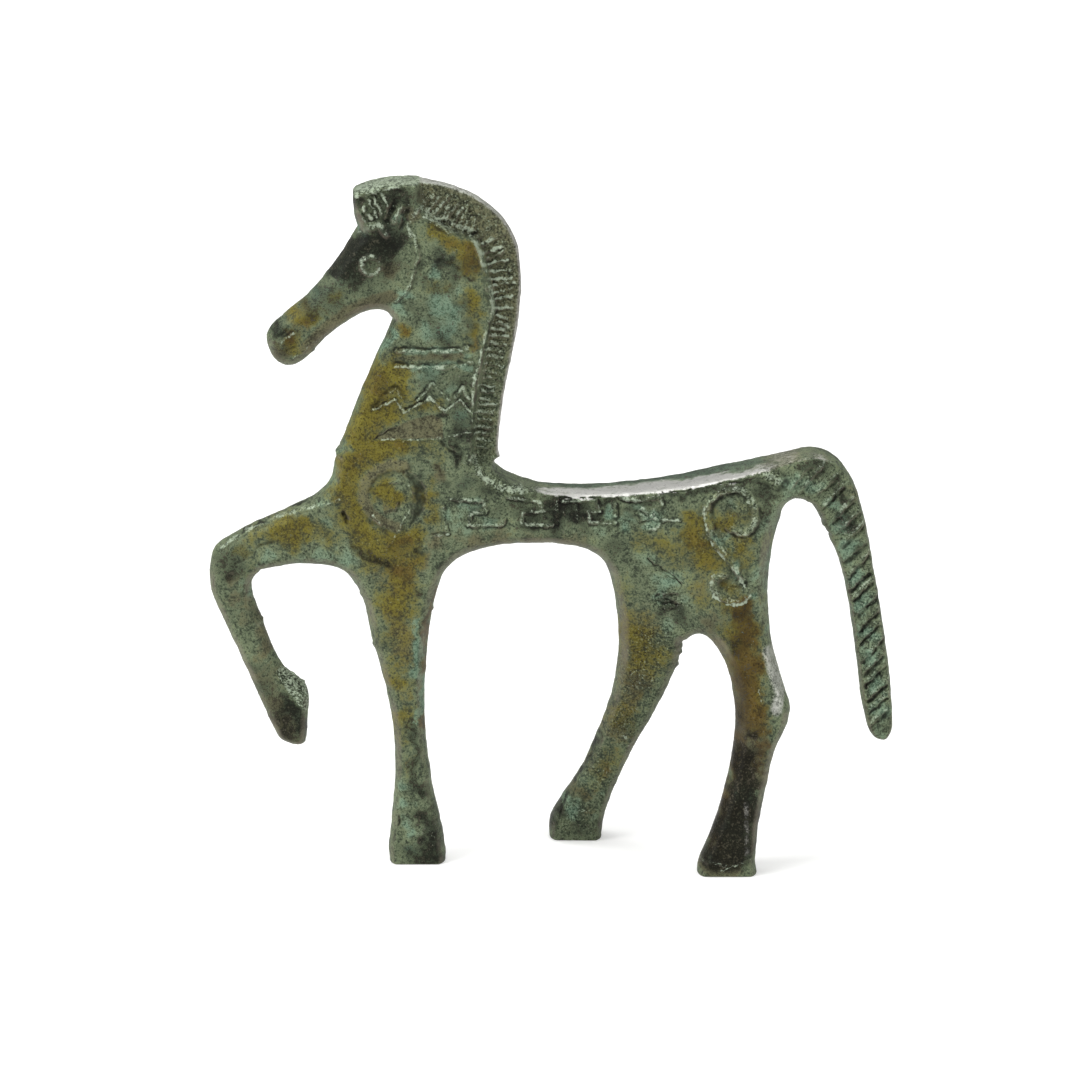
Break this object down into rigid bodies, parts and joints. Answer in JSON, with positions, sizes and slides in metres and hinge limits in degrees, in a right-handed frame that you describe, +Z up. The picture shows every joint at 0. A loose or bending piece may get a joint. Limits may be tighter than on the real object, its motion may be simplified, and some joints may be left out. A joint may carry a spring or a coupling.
{
  "type": "geometric bronze horse",
  "caption": "Small patinated bronze horse in the Greek geometric style, cast in one piece and standing on its own feet with a foreleg lifted.",
  "frame": {"origin": "middle of the bounding box's underside, on the surface the horse stands on", "axes": "+Z up, the nose points to -X, the near side with the camera is -Y, and the casting is thinnest along Y"},
  "size_m": [0.1094, 0.027, 0.1099],
  "materials": {
    "patinated_bronze": "aged cast bronze, grey-green verdigris over olive-brown and near-black patina, worn bright along the back"
  },
  "bodies": {
    "root": {"bronze_horse": "patinated_bronze"}
  },
  "joints": []
}
